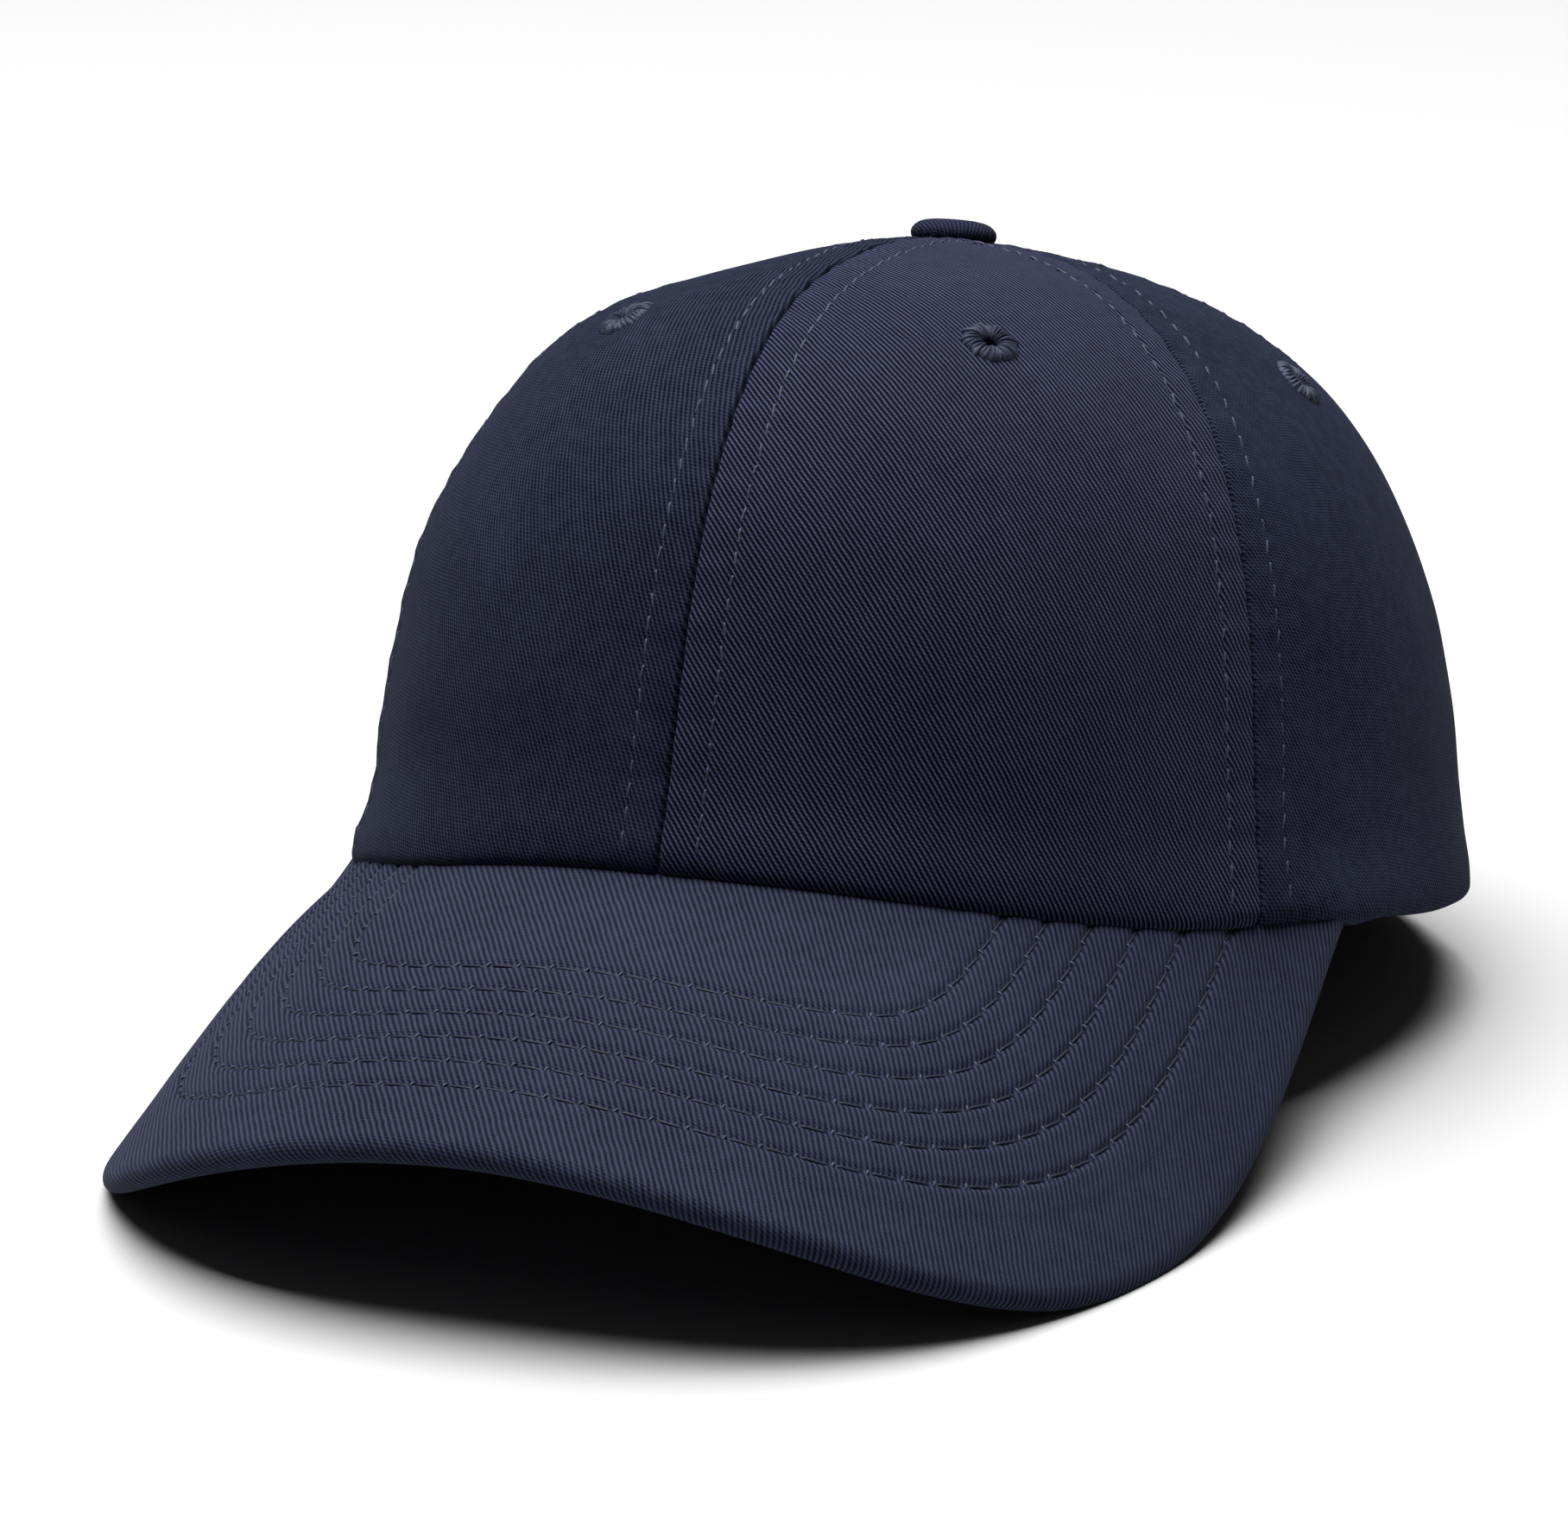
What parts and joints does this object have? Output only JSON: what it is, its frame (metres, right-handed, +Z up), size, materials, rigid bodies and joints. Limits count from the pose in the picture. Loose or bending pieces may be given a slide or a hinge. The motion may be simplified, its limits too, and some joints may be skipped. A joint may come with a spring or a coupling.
{
  "type": "baseball cap",
  "caption": "Soft baseball cap with a panelled twill crown, vent eyelets, a covered button, a curved stitched visor and an adjustable rear strap with a lever buckle.",
  "frame": {"origin": "middle of the footprint of the cap standing on a table, on the table's surface", "axes": "+Z up from the table; -Y towards the front of the visor and +Y towards the back of the head; +X towards the wearer's left. The crown's own axis leans 14.7 degrees backwards, because the cap stands on the two low corners of its visor and on the back of its rim."},
  "size_m": [0.168, 0.2576, 0.1199],
  "materials": {
    "crown_twill": "matt navy cotton twill",
    "visor_twill": "matt navy cotton twill",
    "strap_twill": "matt navy cotton twill",
    "stitch_thread": "polyester sewing thread",
    "eyelet_thread": "satin-stitched thread",
    "buckram": "stiff open-weave buckram",
    "seam_tape": "flat woven tape",
    "sweatband_cotton": "brushed cotton over soft backing",
    "visor_plastic": "moulded polyethylene board",
    "plated_metal": "pressed and bright",
    "buckle_metal": "brushed plating"
  },
  "bodies": {
    "cap": {"front_panel_left": "crown_twill", "side_panel_left": "crown_twill", "back_panel_left": "crown_twill", "front_panel_right": "crown_twill", "side_panel_right": "crown_twill", "back_panel_right": "crown_twill", "front_backing_left": "buckram", "front_backing_right": "buckram", "seam_tape_front": "seam_tape", "seam_tape_front_left": "seam_tape", "seam_tape_front_right": "seam_tape", "seam_tape_back_left": "seam_tape", "seam_tape_back_right": "seam_tape", "seam_tape_back": "seam_tape", "sweatband": "sweatband_cotton", "rear_opening_binding": "seam_tape", "visor_board": "visor_plastic", "visor_top_cover": "visor_twill", "visor_under_cover": "visor_twill", "visor_edge_roll": "visor_twill", "visor_stitch_row_1": "stitch_thread", "visor_stitch_row_2": "stitch_thread", "visor_stitch_row_3": "stitch_thread", "visor_stitch_row_4": "stitch_thread", "visor_stitch_row_5": "stitch_thread", "visor_stitch_row_6": "stitch_thread", "button_cover": "crown_twill", "button_shell": "plated_metal", "button_post": "plated_metal", "button_washer": "plated_metal", "eyelet_front_left": "eyelet_thread", "eyelet_front_right": "eyelet_thread", "eyelet_side_left": "eyelet_thread", "eyelet_side_right": "eyelet_thread", "eyelet_back_left": "eyelet_thread", "eyelet_back_right": "eyelet_thread", "buckle_loop": "strap_twill", "buckle_frame": "buckle_metal", "buckle_pin": "buckle_metal"},
    "strap": {"strap": "strap_twill"},
    "buckle_lever": {"buckle_lever": "buckle_metal"}
  },
  "joints": [
    {"name": "strap_adjust", "type": "hinge", "parent": "cap", "child": "strap", "pos_m": [0, 0.04672, 0.03221], "axis": [0, 0.2535, 0.9673], "range_deg": [-18, 18]},
    {"name": "lever_hinge", "type": "hinge", "parent": "cap", "child": "buckle_lever", "pos_m": [0.00796, 0.12542, 0.01152], "axis": [-0.0285, 0.1016, 0.9944], "range_deg": [0, 100]}
  ]
}
